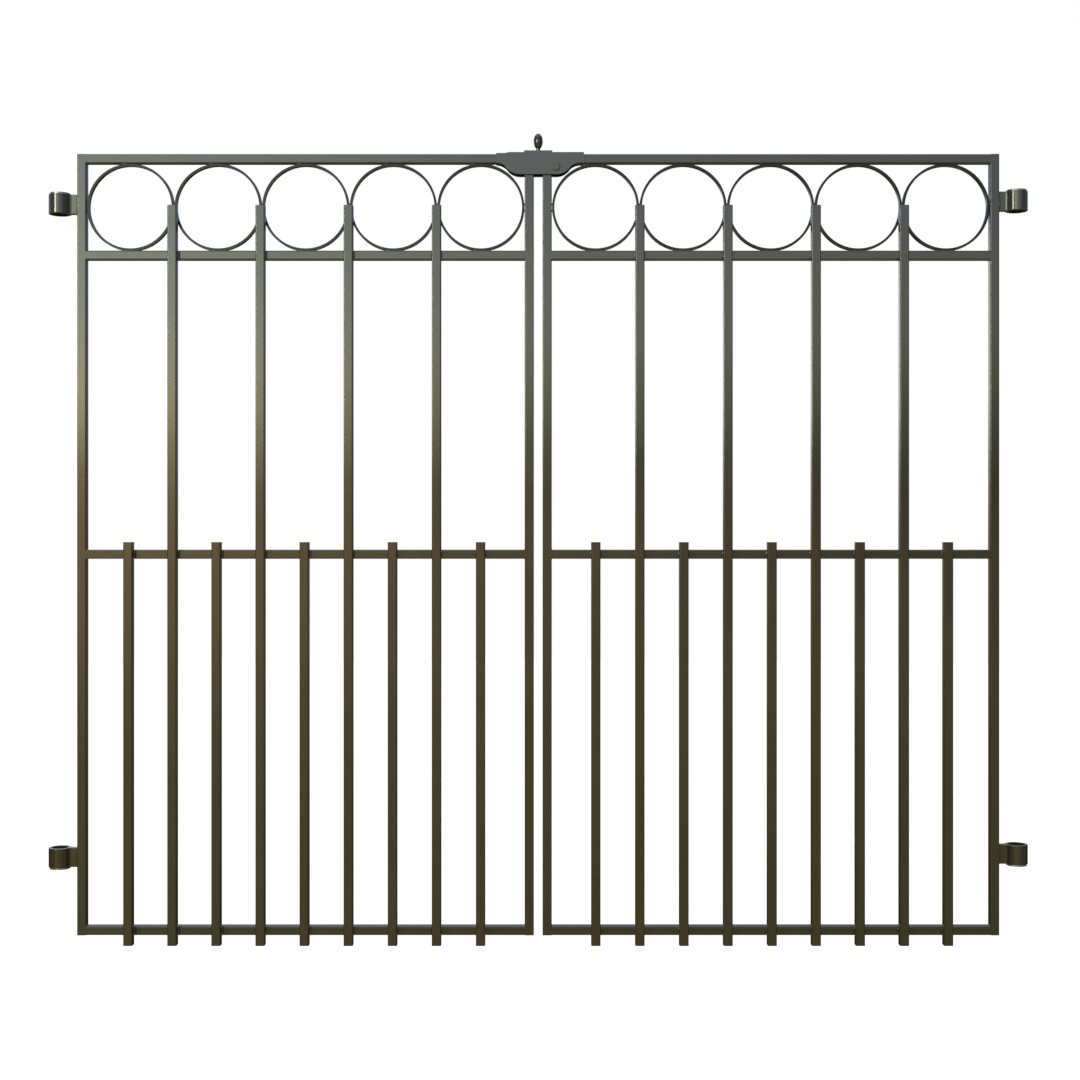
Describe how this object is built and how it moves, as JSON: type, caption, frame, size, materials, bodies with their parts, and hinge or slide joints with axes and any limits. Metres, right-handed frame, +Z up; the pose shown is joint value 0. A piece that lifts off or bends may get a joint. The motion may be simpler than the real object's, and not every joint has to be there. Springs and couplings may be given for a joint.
{
  "type": "pair of steel driveway gate leaves",
  "caption": "Pair of square-bar steel gate leaves with ring band, dog bars, hinge eyes on pins and a swing-over latch.",
  "frame": {"origin": "on the left hinge axis, at the underside of the lower left hinge pin's flange", "axes": "+X along the closed gate from the left hinge to the right hinge, +Y the way both leaves swing open, +Z up"},
  "size_m": [2.134, 0.0543, 1.7646],
  "materials": {
    "leaf_frame": "satin gunmetal powder coat on steel",
    "hinge_eyes": "gunmetal powder coat, a little glossier than the leaves",
    "latch": "satin gunmetal powder coat",
    "pins": "zinc-plated turned steel"
  },
  "bodies": {
    "hinge_pins": {"left_lower_hinge_pin": "pins", "left_upper_hinge_pin": "pins", "right_lower_hinge_pin": "pins", "right_upper_hinge_pin": "pins"},
    "left_leaf": {"left_hinge_stile": "leaf_frame", "left_meeting_stile": "leaf_frame", "left_top_rail": "leaf_frame", "left_ring_rail": "leaf_frame", "left_middle_rail": "leaf_frame", "left_bottom_rail": "leaf_frame", "left_long_bar_1": "leaf_frame", "left_long_bar_2": "leaf_frame", "left_long_bar_3": "leaf_frame", "left_long_bar_4": "leaf_frame", "left_dog_bar_1": "leaf_frame", "left_dog_bar_2": "leaf_frame", "left_dog_bar_3": "leaf_frame", "left_dog_bar_4": "leaf_frame", "left_dog_bar_5": "leaf_frame", "left_rings": "leaf_frame", "left_upper_hinge_eye": "hinge_eyes", "left_lower_hinge_eye": "hinge_eyes"},
    "right_leaf": {"right_hinge_stile": "leaf_frame", "right_meeting_stile": "leaf_frame", "right_top_rail": "leaf_frame", "right_ring_rail": "leaf_frame", "right_middle_rail": "leaf_frame", "right_bottom_rail": "leaf_frame", "right_long_bar_1": "leaf_frame", "right_long_bar_2": "leaf_frame", "right_long_bar_3": "leaf_frame", "right_long_bar_4": "leaf_frame", "right_dog_bar_1": "leaf_frame", "right_dog_bar_2": "leaf_frame", "right_dog_bar_3": "leaf_frame", "right_dog_bar_4": "leaf_frame", "right_dog_bar_5": "leaf_frame", "right_rings": "leaf_frame", "right_upper_hinge_eye": "hinge_eyes", "right_lower_hinge_eye": "hinge_eyes", "latch_lug": "leaf_frame", "latch_pivot_bolt": "latch", "latch_nut": "latch"},
    "latch": {"latch_saddle": "latch", "latch_knob": "latch"}
  },
  "joints": [
    {"name": "left_leaf_swing", "type": "hinge", "parent": "hinge_pins", "child": "left_leaf", "pos_m": [0, 0, 0], "axis": [0, 0, 1], "range_deg": [0, 90]},
    {"name": "right_leaf_swing", "type": "hinge", "parent": "hinge_pins", "child": "right_leaf", "pos_m": [2.086, 0, 0], "axis": [0, 0, -1], "range_deg": [0, 90]},
    {"name": "latch_throw", "type": "hinge", "parent": "right_leaf", "child": "latch", "pos_m": [1.082, 0, 1.5266], "axis": [0, 1, 0], "range_deg": [0, 75]}
  ]
}
